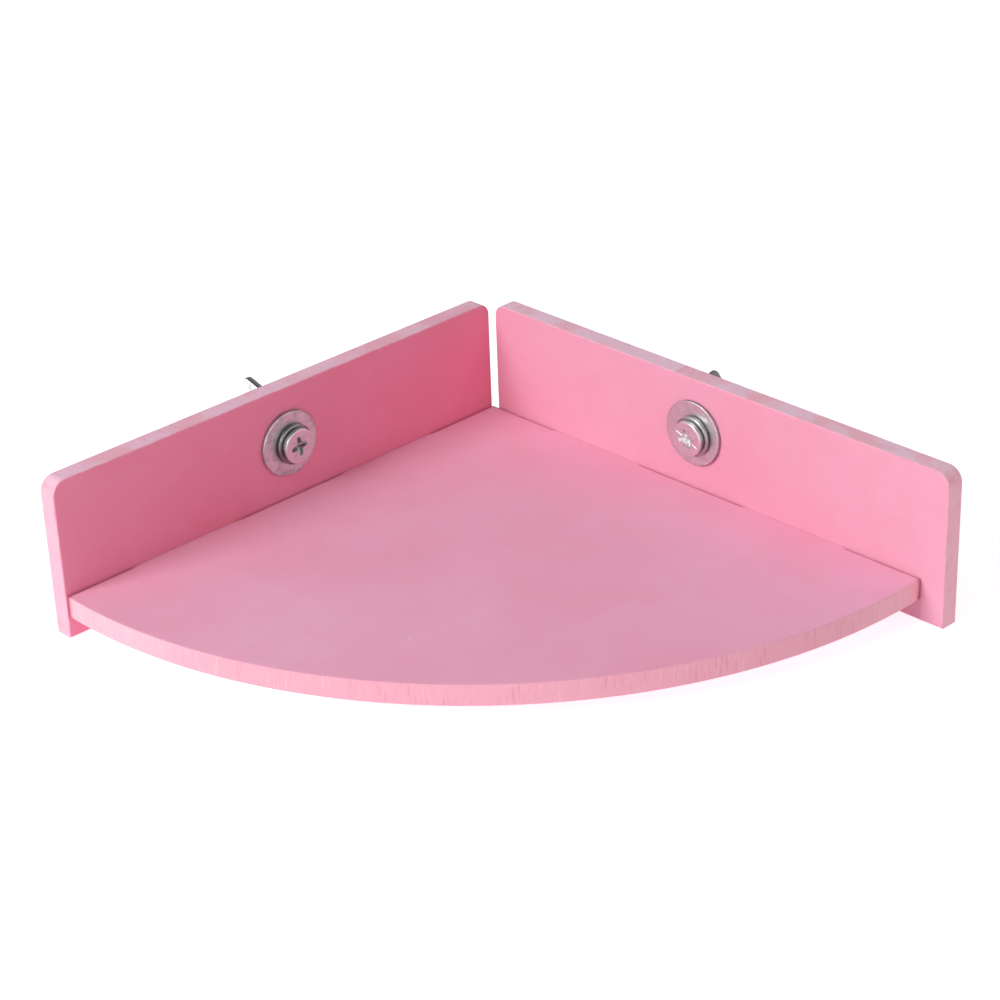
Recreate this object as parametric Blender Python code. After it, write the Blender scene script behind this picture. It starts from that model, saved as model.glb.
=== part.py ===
"""Corner perch platform for small animals.

A quarter-round floor board stands between two upright wall boards that meet at a right angle. A screw
runs through each wall, with a lock washer and a wide washer under its head, and a wide clamp washer and a
wing nut behind the wall. The perch goes into the corner of a wire cage: the wires pass between the walls'
back faces and the clamp washers, and the wing nuts close on them.

The boards are modelled in the corner's own frame: X runs along the left wall and Y along the right wall,
both from the inner corner, and Z points up from the walls' feet. A bolt's frame has its origin on the
wall's inner face, with Z out through the wall and Y up, so X points away from the corner on the left and
towards it on the right.
"""

import math

import bmesh
import bpy
from mathutils import Matrix, Vector

# Floor board
FLOOR_THICKNESS = 0.008
FLOOR_LEFT_EDGE = 0.200
FLOOR_RIGHT_EDGE = 0.203
FLOOR_ARC_RADIUS = 0.1947

# Wall boards
WALL_THICKNESS = 0.0074
WALL_RISE = 0.0424
WALL_SKIRT = 0.016
WALL_CORNER_RADIUS = 0.0055
LEFT_WALL_START = 0.0005
LEFT_WALL_LENGTH = 0.2002
RIGHT_WALL_START = 0.0026
RIGHT_WALL_LENGTH = 0.2099
RIGHT_WALL_TAPER = 0.001
ARRIS = 0.0004

# Bolt positions, from the inner corner and over the floor's top
LEFT_BOLT_ALONG = 0.100
RIGHT_BOLT_ALONG = 0.1035
BOLT_HEIGHT = 0.021

# Screws
SCREW_MAJOR_RADIUS = 0.00295
THREAD_DEPTH = 0.00055
THREAD_PITCH = 0.001
SCREW_LENGTH = 0.030
SCREW_PLAIN_LENGTH = 0.0105
SCREW_TIP_CHAMFER = 0.0007
HEAD_RADIUS = 0.0065
HEAD_HEIGHT = 0.0022
HEAD_ROUNDING = 0.0005
RECESS_ARM_LENGTH = 0.0036
RECESS_ARM_WIDTH = 0.0018
RECESS_DEPTH = 0.0014
LEFT_SCREW_TURN = math.radians(-8)
RIGHT_SCREW_TURN = math.radians(-21)

# Washers
WIDE_WASHER_RADIUS = 0.01225
WIDE_WASHER_BORE = 0.0042
WIDE_WASHER_THICKNESS = 0.0012
LOCK_WASHER_RADIUS = 0.0075
LOCK_WASHER_BORE = 0.0041
LOCK_WASHER_THICKNESS = 0.0014
LOCK_WASHER_RISE = 0.00015
LOCK_WASHER_SPLIT = math.radians(14)
WASHER_EDGE = 0.0003
# Which way each washer has slipped on its screw, as an angle in the bolt's frame
LEFT_WASHER_LEAN = math.radians(5)
RIGHT_WASHER_LEAN = math.radians(26)
CLAMP_WASHER_LEAN = math.radians(-90)

# Wing nuts
NUT_HUB_BASE_RADIUS = 0.0063
NUT_HUB_TOP_RADIUS = 0.0052
NUT_HUB_HEIGHT = 0.0085
NUT_HUB_EDGE = 0.0005
# A wing's corners from foot to shoulder: distance from the axis, height over the nut's base, rounding
WING_CORNERS = ((0.0156, 0.0016, 0.0035), (0.0189, 0.0132, 0.002), (0.009, 0.0122, 0.003))
WING_THICKNESS = 0.0028
WING_EDGE = 0.0005
LEFT_NUT_TURN = math.radians(93)
RIGHT_NUT_TURN = math.radians(45)
CLAMP_OPENING = 0.0023

# Brads
BRAD_COUNT = 4
BRAD_MARGIN = 0.022
BRAD_LENGTH = 0.025
BRAD_RADIUS = 0.0006
BRAD_HEAD_RADIUS = 0.0011
BRAD_HEAD_HEIGHT = 0.0008
BRAD_SINK = 0.0006

# Clearances
SEAM = 0.0003
STACK_GAP = 0.0002
BOLT_HOLE_CLEARANCE = 0.00035
THREAD_CLEARANCE = 0.00015
BRAD_CLEARANCE = 0.0003

# Facets of a full circle
ARC_SEGMENTS = 48
CORNER_SEGMENTS = 6
WASHER_SEGMENTS = 40
HUB_SEGMENTS = 32
SCREW_SEGMENTS = 20
BRAD_SEGMENTS = 12
WING_SEGMENTS = 6

WALL_HEIGHT = WALL_SKIRT + WALL_RISE
HALF_DIAGONAL = math.sqrt(0.5)
# How far a cutter runs past the faces that it cuts
OVERRUN = 0.001


def clear_scene():
    for old in list(bpy.data.objects):
        bpy.data.objects.remove(old, do_unlink=True)


def principled(name, colour, roughness, metallic):
    material = bpy.data.materials.new(name)
    material.use_nodes = True
    shader = material.node_tree.nodes["Principled BSDF"]
    shader.inputs["Base Color"].default_value = (*colour, 1.0)
    shader.inputs["Roughness"].default_value = roughness
    shader.inputs["Metallic"].default_value = metallic
    return material


def pink_paint(name):
    return principled(name, (0.84, 0.33, 0.45), 0.62, 0.0)


def zinc_plate(name):
    return principled(name, (0.66, 0.66, 0.68), 0.28, 1.0)


def bright_steel(name):
    return principled(name, (0.56, 0.57, 0.58), 0.4, 1.0)


def new_object(name, shape, parent, material=None):
    """An object from a bmesh. Without a material it is a cutter, which no render shows."""
    mesh = bpy.data.meshes.new(name)
    shape.to_mesh(mesh)
    shape.free()
    made = bpy.data.objects.new(name, mesh)
    bpy.context.scene.collection.objects.link(made)
    made.parent = parent
    if material is None:
        made.hide_render = True
        made.display_type = "WIRE"
    else:
        mesh.materials.append(material)
    return made


def shade_round(made, angle=math.radians(35)):
    made.data.shade_smooth()
    made.data.set_sharp_from_angle(angle=angle)


def frame_empty(name, parent, location, rotation):
    empty = bpy.data.objects.new(name, None)
    bpy.context.scene.collection.objects.link(empty)
    empty.parent = parent
    empty.location = location
    empty.rotation_euler = rotation
    return empty


def boolean(target, cutter, operation="DIFFERENCE"):
    modifier = target.modifiers.new(cutter.name, "BOOLEAN")
    modifier.operation = operation
    modifier.solver = "EXACT"
    modifier.object = cutter


def ease_edges(made, width):
    """Takes the sharp arrises off a sawn board or a cast wing."""
    modifier = made.modifiers.new("eased_edges", "BEVEL")
    modifier.width = width
    modifier.segments = 1
    modifier.limit_method = "ANGLE"
    modifier.angle_limit = math.radians(30)


def arc_points(centre, radius, start, end, segments):
    angles = [start + (end - start) * i / segments for i in range(segments + 1)]
    return [(centre[0] + radius * math.cos(a), centre[1] + radius * math.sin(a)) for a in angles]


def prism(outline, low, high, turned=None):
    """A plate between two levels, with a counter-clockwise outline, turned as asked."""
    shape = bmesh.new()
    face = shape.faces.new([shape.verts.new((x, y, low)) for x, y in outline])
    grown = bmesh.ops.extrude_face_region(shape, geom=[face])
    top = [item for item in grown["geom"] if isinstance(item, bmesh.types.BMVert)]
    bmesh.ops.translate(shape, verts=top, vec=(0, 0, high - low))
    bmesh.ops.recalc_face_normals(shape, faces=shape.faces)
    if turned is not None:
        bmesh.ops.transform(shape, matrix=turned, verts=shape.verts)
    return shape


def ring_of(shape, radius, height, segments, turn=0.0):
    if radius == 0:
        return [shape.verts.new((0, 0, height))]
    angles = [turn + 2 * math.pi * i / segments for i in range(segments)]
    return [shape.verts.new((radius * math.cos(a), radius * math.sin(a), height)) for a in angles]


def bridge(shape, lower, upper):
    """The wall between two rings, either of which may be a single point."""
    count = max(len(lower), len(upper))
    for i in range(count):
        corners = [lower[i % len(lower)], lower[(i + 1) % len(lower)]]
        corners += [upper[(i + 1) % len(upper)], upper[i % len(upper)]]
        shape.faces.new(list(dict.fromkeys(corners)))


def turned_shape(profile, segments, closed=False):
    """A profile of (radius, height) turned about Z. A closed profile makes a ring."""
    shape = bmesh.new()
    rings = [ring_of(shape, radius, height, segments) for radius, height in profile]
    if closed:
        rings.append(rings[0])
    for lower, upper in zip(rings, rings[1:]):
        bridge(shape, lower, upper)
    bmesh.ops.recalc_face_normals(shape, faces=shape.faces)
    return shape


def threaded_shape(below, above, root, crest, start, turns, segments):
    """A turned body with a right-hand thread between two profiles of (radius, height).

    The root follows one helix and the crest another, half a pitch higher. The crest fades into the root
    over half a turn at each end, so that the thread closes on a plain ring.
    """
    shape = bmesh.new()
    steps = segments * turns

    def on_helix(step, radius, lift):
        angle = 2 * math.pi * (step % segments) / segments
        height = start + THREAD_PITCH * (step / segments + lift)
        return shape.verts.new((radius * math.cos(angle), radius * math.sin(angle), height))

    def crest_radius(step):
        fade = min(1.0, 2 * step / segments, 2 * (steps - step) / segments)
        return root + (crest - root) * fade

    roots = [on_helix(step, root, 0.0) for step in range(steps + segments + 1)]
    crests = [on_helix(step, crest_radius(step), 0.5) for step in range(steps + 1)]
    for k in range(steps):
        shape.faces.new((roots[k], roots[k + 1], crests[k + 1], crests[k]))
        shape.faces.new((crests[k], crests[k + 1], roots[k + 1 + segments], roots[k + segments]))

    lower = [ring_of(shape, radius, height, segments) for radius, height in below]
    upper = [ring_of(shape, radius, height, segments) for radius, height in above]
    for first, second in list(zip(lower, lower[1:])) + list(zip(upper, upper[1:])):
        bridge(shape, first, second)

    ring = lower[-1]
    for i in range(segments - 1):
        shape.faces.new((ring[i], ring[i + 1], roots[i + 1], roots[i]))
    apex = roots[segments - 1]
    seam = [ring[-1], ring[0], roots[0], crests[0], roots[segments]]
    for first, second in zip(seam, seam[1:]):
        shape.faces.new((apex, first, second))

    ring = upper[0]
    for i in range(1, segments):
        shape.faces.new((roots[steps + i], roots[steps + i + 1], ring[(i + 1) % segments], ring[i]))
    apex = roots[steps + 1]
    seam = [ring[1], ring[0], roots[steps + segments], crests[steps], roots[steps]]
    for first, second in zip(seam, seam[1:]):
        shape.faces.new((apex, first, second))
    bmesh.ops.recalc_face_normals(shape, faces=shape.faces)
    return shape


def joined(shapes):
    """Several bmeshes as one, for a cutter of many holes."""
    whole = bmesh.new()
    for shape in shapes:
        spare = bpy.data.meshes.new("spare")
        shape.to_mesh(spare)
        shape.free()
        whole.from_mesh(spare)
        bpy.data.meshes.remove(spare)
    return whole


def floor_outline():
    """Two straight edges along the walls, and an arc through their far ends."""
    left_tip = Vector((FLOOR_LEFT_EDGE, SEAM))
    right_tip = Vector((SEAM, FLOOR_RIGHT_EDGE))
    chord = right_tip - left_tip
    inward = Vector((-chord.y, chord.x)).normalized()
    reach = math.sqrt(FLOOR_ARC_RADIUS**2 - (chord.length / 2) ** 2)
    centre = (left_tip + right_tip) / 2 + inward * reach
    start = math.atan2(left_tip.y - centre.y, left_tip.x - centre.x)
    end = math.atan2(right_tip.y - centre.y, right_tip.x - centre.x)
    arc = arc_points(centre, FLOOR_ARC_RADIUS, start, end, ARC_SEGMENTS)
    return [(SEAM, SEAM)] + arc


def wall_outline(length, taper):
    """A wall seen from the perch, from its end at the corner, with square feet and rounded top corners."""
    radius = WALL_CORNER_RADIUS
    far = WALL_HEIGHT - taper
    quarter = math.pi / 2
    outer = arc_points((length - radius, far - radius), radius, 0, quarter, CORNER_SEGMENTS)
    inner = arc_points((radius, WALL_HEIGHT - radius), radius, quarter, 2 * quarter, CORNER_SEGMENTS)
    return [(0, 0), (length, 0)] + outer + inner


def brad_places(edge):
    """Distances from the corner of the brads along one straight edge of the floor."""
    step = (edge - 2 * BRAD_MARGIN) / (BRAD_COUNT - 1)
    return [BRAD_MARGIN + step * i for i in range(BRAD_COUNT)]


def brad_profile(grown=0.0, past=0.0):
    """A brad along Z, from its point to the top of its head, or the hole that clears it."""
    shank = BRAD_RADIUS + grown
    head = BRAD_HEAD_RADIUS + grown
    under = -BRAD_HEAD_HEIGHT - grown
    tip = -BRAD_LENGTH - grown
    return [(0, tip), (shank, tip + BRAD_RADIUS), (shank, under), (head, under), (head, past), (0, past)]


def brad_matrix(side, along):
    """Puts a brad's head just under a wall's back face, pointing into the floor's edge."""
    depth = WALL_THICKNESS - BRAD_SINK
    height = WALL_SKIRT - FLOOR_THICKNESS / 2
    if side == "left":
        turn = Matrix.Rotation(math.pi / 2, 4, "X")
        return Matrix.Translation((along, -depth, height)) @ turn
    turn = Matrix.Rotation(-math.pi / 2, 4, "Y")
    return Matrix.Translation((-depth, along, height)) @ turn


def brad_cutter(name, sides, parent):
    """The holes of the brads on the given sides, as one cutter."""
    edges = {"left": FLOOR_LEFT_EDGE, "right": FLOOR_RIGHT_EDGE}
    shapes = []
    for side in sides:
        for along in brad_places(edges[side]):
            hole = turned_shape(brad_profile(BRAD_CLEARANCE, BRAD_SINK + OVERRUN), BRAD_SEGMENTS)
            bmesh.ops.transform(hole, matrix=brad_matrix(side, along), verts=hole.verts)
            shapes.append(hole)
    return new_object(name, joined(shapes), parent)


def make_floor(corner):
    outline = floor_outline()
    shape = prism(outline, WALL_SKIRT - FLOOR_THICKNESS, WALL_SKIRT)
    floor = new_object("floor_board", shape, corner, pink_paint("floor_board_paint"))
    ease_edges(floor, ARRIS)
    boolean(floor, brad_cutter("floor_brad_holes", ("left", "right"), corner))
    return floor


def make_wall(side, corner, start, length, taper, bolt):
    """A wall board. Its outline stands in the plane of the wall's inner face."""
    outline = wall_outline(length, taper)
    if side == "left":
        turned = Matrix.Rotation(math.pi / 2, 4, "X")
        place = (start, 0, 0)
    else:
        turned = Matrix.Rotation(math.pi / 2, 4, "Z") @ Matrix.Rotation(math.pi / 2, 4, "X")
        place = (0, start, 0)
    levels = (0, WALL_THICKNESS) if side == "left" else (-WALL_THICKNESS, 0)
    shape = prism(outline, *levels, turned)
    wall = new_object(f"{side}_wall", shape, corner, pink_paint(f"{side}_wall_paint"))
    wall.location = place
    ease_edges(wall, ARRIS)
    hole_radius = SCREW_MAJOR_RADIUS + BOLT_HOLE_CLEARANCE
    ends = [(0, -OVERRUN), (hole_radius, -OVERRUN)]
    ends += [(hole_radius, WALL_THICKNESS + OVERRUN), (0, WALL_THICKNESS + OVERRUN)]
    boolean(wall, new_object(f"{side}_bolt_hole", turned_shape(ends, SCREW_SEGMENTS), bolt))
    boolean(wall, brad_cutter(f"{side}_wall_brad_holes", (side,), corner))
    return wall


def make_brads(side, corner, edge):
    for number, along in enumerate(brad_places(edge), 1):
        name = f"{side}_brad_{number}"
        shape = turned_shape(brad_profile(), BRAD_SEGMENTS)
        brad = new_object(name, shape, corner, bright_steel(f"{name}_steel"))
        brad.matrix_local = brad_matrix(side, along)
        shade_round(brad)


def wide_washer_shape():
    """A stamped washer from Z = 0 up, with eased outer edges."""
    high = WIDE_WASHER_THICKNESS
    edge = WASHER_EDGE
    outer = WIDE_WASHER_RADIUS
    profile = [(WIDE_WASHER_BORE, 0), (outer - edge, 0), (outer, edge)]
    profile += [(outer, high - edge), (outer - edge, high), (WIDE_WASHER_BORE, high)]
    return turned_shape(profile, WASHER_SEGMENTS, closed=True)


def make_wide_washer(name, bolt, height, lean):
    """A washer whose wide bore rests against the screw on one side."""
    washer = new_object(name, wide_washer_shape(), bolt, zinc_plate(f"{name}_zinc"))
    slip = WIDE_WASHER_BORE - SCREW_MAJOR_RADIUS - STACK_GAP
    washer.location = (slip * math.cos(lean), slip * math.sin(lean), height)
    shade_round(washer)
    return washer


def make_lock_washer(name, bolt, height, opening):
    """A split ring whose ends stand a little apart along the screw. The split faces the angle given."""
    shape = bmesh.new()
    sweep = 2 * math.pi - LOCK_WASHER_SPLIT
    corners = [(LOCK_WASHER_BORE, 0), (LOCK_WASHER_RADIUS, 0)]
    corners += [(LOCK_WASHER_RADIUS, LOCK_WASHER_THICKNESS), (LOCK_WASHER_BORE, LOCK_WASHER_THICKNESS)]
    sections = []
    for i in range(WASHER_SEGMENTS):
        part = i / (WASHER_SEGMENTS - 1)
        angle = opening + LOCK_WASHER_SPLIT / 2 + sweep * part
        lift = LOCK_WASHER_RISE * part
        sections.append(
            [shape.verts.new((r * math.cos(angle), r * math.sin(angle), z + lift)) for r, z in corners]
        )
    for first, second in zip(sections, sections[1:]):
        bridge(shape, first, second)
    shape.faces.new(sections[0])
    shape.faces.new(sections[-1])
    bmesh.ops.recalc_face_normals(shape, faces=shape.faces)
    washer = new_object(name, shape, bolt, zinc_plate(f"{name}_zinc"))
    washer.location = (0, 0, height)
    shade_round(washer)
    return washer


def head_underside():
    """How far in front of the wall's inner face the screw head's underside lies."""
    stack = WIDE_WASHER_THICKNESS + LOCK_WASHER_THICKNESS + LOCK_WASHER_RISE
    return stack + 3 * STACK_GAP


def thread_start():
    return SCREW_PLAIN_LENGTH - head_underside()


def recess_shape(face):
    """A tapered cross, cut into the head from its face."""
    arm = RECESS_ARM_LENGTH
    half = RECESS_ARM_WIDTH / 2
    outline = []
    for quarter in range(4):
        turn = Matrix.Rotation(quarter * math.pi / 2, 2)
        outline += [turn @ Vector(point) for point in ((half, -half), (arm, -half), (arm, half))]
    shape = bmesh.new()
    rings = []
    for scale, height in ((1.0, face - OVERRUN), (1.0, face), (0.45, face + RECESS_DEPTH)):
        rings.append([shape.verts.new((*(point * scale), height)) for point in outline])
    for lower, upper in zip(rings, rings[1:]):
        bridge(shape, lower, upper)
    shape.faces.new(rings[0])
    shape.faces.new(rings[-1])
    bmesh.ops.recalc_face_normals(shape, faces=shape.faces)
    return shape


def screw_profiles():
    """The outlines below and above the thread, from the head's face to the screw's tip."""
    under = -head_underside()
    face = under - HEAD_HEIGHT
    start = thread_start()
    end = under + SCREW_LENGTH
    major = SCREW_MAJOR_RADIUS
    root = major - THREAD_DEPTH
    centre = (HEAD_RADIUS - HEAD_ROUNDING, face + HEAD_ROUNDING)
    rim = arc_points(centre, HEAD_ROUNDING, -math.pi / 2, 0, 4)
    below = [(0, face)] + rim + [(HEAD_RADIUS, under), (major, under)]
    below += [(major, start - THREAD_DEPTH), (root, start)]
    above = [(root, end - SCREW_TIP_CHAMFER), (root - SCREW_TIP_CHAMFER, end), (0, end)]
    return below, above


def make_screw(name, bolt, turn):
    below, above = screw_profiles()
    start = thread_start() + THREAD_PITCH / 4
    room = above[0][1] - start
    turns = math.floor(room / THREAD_PITCH - 1.05)
    root = SCREW_MAJOR_RADIUS - THREAD_DEPTH
    shape = threaded_shape(below, above, root, SCREW_MAJOR_RADIUS, start, turns, SCREW_SEGMENTS)
    screw = new_object(name, shape, bolt, zinc_plate(f"{name}_zinc"))
    cutter = new_object(f"{name}_recess", recess_shape(below[0][1]), bolt)
    cutter.rotation_euler = (0, 0, turn)
    boolean(screw, cutter)
    shade_round(screw)
    return screw


def rounded_corner(before, corner, after, radius, segments):
    """The arc that rounds one corner of an outline, between its two neighbours."""
    back = (before - corner).normalized()
    ahead = (after - corner).normalized()
    half = back.angle(ahead) / 2
    centre = corner + (back + ahead).normalized() * (radius / math.sin(half))
    first = corner + back * (radius / math.tan(half)) - centre
    last = corner + ahead * (radius / math.tan(half)) - centre
    start = math.atan2(first.y, first.x)
    sweep = math.atan2(first.cross(last), first.dot(last))
    return arc_points(centre, radius, start, start + sweep, segments)


def wing_outline():
    """One wing as seen along its broad side, with its straight inner end buried in the hub."""
    inside = (SCREW_MAJOR_RADIUS + NUT_HUB_TOP_RADIUS) / 2
    low = Vector((inside, NUT_HUB_EDGE * 2))
    high = Vector((inside, NUT_HUB_HEIGHT - NUT_HUB_EDGE * 2))
    corners = [low] + [Vector(corner[:2]) for corner in WING_CORNERS] + [high]
    outline = [tuple(low)]
    for before, corner, after, (_, _, radius) in zip(corners, corners[1:], corners[2:], WING_CORNERS):
        outline += rounded_corner(before, corner, after, radius, WING_SEGMENTS)
    return outline + [tuple(high)]


def make_wing_nut(name, bolt, height, turn):
    profile = [(0, 0), (NUT_HUB_BASE_RADIUS - NUT_HUB_EDGE, 0), (NUT_HUB_BASE_RADIUS, NUT_HUB_EDGE)]
    profile += [(NUT_HUB_TOP_RADIUS, NUT_HUB_HEIGHT - NUT_HUB_EDGE)]
    profile += [(NUT_HUB_TOP_RADIUS - NUT_HUB_EDGE, NUT_HUB_HEIGHT), (0, NUT_HUB_HEIGHT)]
    nut = new_object(name, turned_shape(profile, HUB_SEGMENTS), bolt, zinc_plate(f"{name}_zinc"))
    nut.location = (0, 0, height)
    nut.rotation_euler = (0, 0, turn)
    for number in range(2):
        upright = Matrix.Rotation(number * math.pi, 4, "Z") @ Matrix.Rotation(math.pi / 2, 4, "X")
        shape = prism(wing_outline(), -WING_THICKNESS / 2, WING_THICKNESS / 2, upright)
        wing = new_object(f"{name}_wing_{number + 1}", shape, nut)
        ease_edges(wing, WING_EDGE)
        boolean(nut, wing, "UNION")
    root = SCREW_MAJOR_RADIUS - THREAD_DEPTH + THREAD_CLEARANCE
    crest = SCREW_MAJOR_RADIUS + THREAD_CLEARANCE
    first = thread_start() + THREAD_PITCH / 4
    lead = math.floor((height - first) / THREAD_PITCH) - 2
    start = first + lead * THREAD_PITCH
    turns = math.ceil(NUT_HUB_HEIGHT / THREAD_PITCH) + 4
    end = start + (turns + 1) * THREAD_PITCH + OVERRUN
    below = [(0, start - OVERRUN), (root, start - OVERRUN)]
    above = [(root, end), (0, end)]
    bore = threaded_shape(below, above, root, crest, start, turns, SCREW_SEGMENTS)
    boolean(nut, new_object(f"{name}_thread", bore, bolt))
    shade_round(nut)
    return nut


def make_bolt(side, corner, along, screw_turn, nut_turn, washer_lean):
    """The screw, washers and wing nut of one wall, in the bolt's own frame."""
    height = WALL_SKIRT + BOLT_HEIGHT
    if side == "left":
        place, rotation = (along, 0, height), (math.pi / 2, 0, 0)
    else:
        place, rotation = (0, along, height), (math.pi / 2, 0, -math.pi / 2)
    bolt = frame_empty(f"{side}_bolt_axis", corner, place, rotation)
    front = -STACK_GAP - WIDE_WASHER_THICKNESS
    lock = front - STACK_GAP - LOCK_WASHER_THICKNESS - LOCK_WASHER_RISE
    clamp = WALL_THICKNESS + CLAMP_OPENING
    nut = clamp + WIDE_WASHER_THICKNESS + STACK_GAP
    make_wide_washer(f"{side}_front_washer", bolt, front, washer_lean)
    make_lock_washer(f"{side}_lock_washer", bolt, lock, -math.pi / 2)
    make_screw(f"{side}_screw", bolt, screw_turn)
    make_wide_washer(f"{side}_clamp_washer", bolt, clamp, CLAMP_WASHER_LEAN)
    make_wing_nut(f"{side}_wing_nut", bolt, nut, nut_turn)
    return bolt


def corner_place():
    """The inner corner's place in the part's frame, whose origin is the middle of the part's footprint."""
    half = HALF_DIAGONAL
    left_end = LEFT_WALL_START + LEFT_WALL_LENGTH
    right_end = RIGHT_WALL_START + RIGHT_WALL_LENGTH
    low_x = -half * (left_end + WALL_THICKNESS)
    high_x = half * (right_end + WALL_THICKNESS)
    high_y = half * (WALL_THICKNESS - min(LEFT_WALL_START, RIGHT_WALL_START))
    low_y = min(-half * (x + y) for x, y in floor_outline())
    return (-(low_x + high_x) / 2, -(low_y + high_y) / 2, 0)


def build():
    clear_scene()
    corner = frame_empty("inner_corner", None, corner_place(), (0, 0, math.radians(225)))
    sides = {
        "left": (LEFT_WALL_START, LEFT_WALL_LENGTH, 0.0, FLOOR_LEFT_EDGE),
        "right": (RIGHT_WALL_START, RIGHT_WALL_LENGTH, RIGHT_WALL_TAPER, FLOOR_RIGHT_EDGE),
    }
    turns = {
        "left": (LEFT_BOLT_ALONG, LEFT_SCREW_TURN, LEFT_NUT_TURN, LEFT_WASHER_LEAN),
        "right": (RIGHT_BOLT_ALONG, RIGHT_SCREW_TURN, RIGHT_NUT_TURN, RIGHT_WASHER_LEAN),
    }
    make_floor(corner)
    for side, (start, length, taper, edge) in sides.items():
        bolt = make_bolt(side, corner, *turns[side])
        make_wall(side, corner, start, length, taper, bolt)
        make_brads(side, corner, edge)


build()
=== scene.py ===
"""Looks of the corner perch: painted wood and zinc-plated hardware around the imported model.

The boards stand in the corner's own frame, with X along the left wall, Y along the right wall and Z up
from the walls' feet. A bolt's frame has its origin on the wall's inner face and Z out through the wall.
"""

import math

import bmesh
import bpy
from mathutils import Matrix, Vector, noise


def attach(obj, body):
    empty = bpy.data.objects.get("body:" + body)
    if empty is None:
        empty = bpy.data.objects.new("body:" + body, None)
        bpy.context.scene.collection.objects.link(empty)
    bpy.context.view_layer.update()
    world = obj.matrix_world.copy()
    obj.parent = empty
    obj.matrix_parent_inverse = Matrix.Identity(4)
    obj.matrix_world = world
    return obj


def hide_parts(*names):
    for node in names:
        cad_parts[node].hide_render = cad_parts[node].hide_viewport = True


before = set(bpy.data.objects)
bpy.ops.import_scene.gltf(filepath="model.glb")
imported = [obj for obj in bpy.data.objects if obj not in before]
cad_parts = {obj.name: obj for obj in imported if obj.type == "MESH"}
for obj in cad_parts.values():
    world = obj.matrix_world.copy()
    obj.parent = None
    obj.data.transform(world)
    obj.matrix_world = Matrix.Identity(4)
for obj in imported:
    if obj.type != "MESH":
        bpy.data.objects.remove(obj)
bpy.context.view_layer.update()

# The boards, in metres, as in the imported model. CORNER leads from the corner's frame to the world
CORNER = Matrix.Translation((-0.0041719, 0.0997990, 0)) @ Matrix.Rotation(math.radians(225), 4, "Z")
FLOOR_THICKNESS = 0.008
FLOOR_LEFT_EDGE = 0.200
FLOOR_RIGHT_EDGE = 0.203
FLOOR_ARC_RADIUS = 0.1947
WALL_THICKNESS = 0.0074
WALL_HEIGHT = 0.0584
WALL_SKIRT = 0.016
WALL_CORNER_RADIUS = 0.0055
SEAM = 0.0003
# Each wall's distance from the corner, its length, and how much lower its outer end is
WALLS = {"left": (0.0005, 0.2002, 0.0), "right": (0.0026, 0.2099, 0.001)}
BRADS = {"left": [0.022 + 0.052 * i for i in range(4)], "right": [0.022 + 0.053 * i for i in range(4)]}
BOLT_ALONG = {"left": 0.100, "right": 0.1035}
BOLT_LEVEL = 0.037

# The hardware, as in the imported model. Heights are along the bolt from the wall's inner face
SCREW_MAJOR = 0.00295
SCREW_ROOT = 0.0024
PITCH = 0.001
THREAD_START = 0.00715
SCREW_TIP = 0.02665
HEAD_RADIUS = 0.0065
HEAD_FACE = -0.00555
HEAD_UNDER = -0.00335
SCREW_TURN = {"left": math.radians(-8), "right": math.radians(-21)}
NUT_TURN = {"left": math.radians(93), "right": math.radians(45)}
WASHER_LEAN = {"left": math.radians(5), "right": math.radians(26)}
WASHER_SLIP = 0.00105
FRONT_WASHER = -0.0014
LOCK_WASHER = -0.00315
CLAMP_WASHER = 0.0097
NUT_BASE = 0.0111

# Eased edges, holes and cuts. A cutter reaches past the face that it opens by the overcut
FLOOR_ARRIS = 0.0005
WALL_ARRIS = 0.0006
BOLT_HOLE_RADIUS = 0.0033
BRAD_PIT_RADIUS = 0.0014
BRAD_PIT_DEPTH = 0.004
OVERCUT = 0.001
NUT_THREAD_CLEARANCE = 0.00015
RECESS_REACH = 0.0045
# The strip of faces beside an arris is this many times as wide as its rounding
ARRIS_STRIP = 2.6
SHARP_ANGLE = math.radians(50)
SHARP_CUT_ANGLE = math.radians(42)
# The floor's edge meets both walls tightly here, measured from the inner corner
TIGHT_STRETCHES = ((0.032, 0.078), (0.125, 0.173))
STRETCH_FADE = 0.002
TIGHT_GAP = 0.00004
# The shaded strip beside a wall, a little narrower than the floor's arris strip
SEAM_STRIP = 0.00128

# A Mix node's colour sockets go by number, because its socket names repeat
MIX_FIRST = 6
MIX_SECOND = 7
MIX_RESULT = 2


# Node helpers


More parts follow.
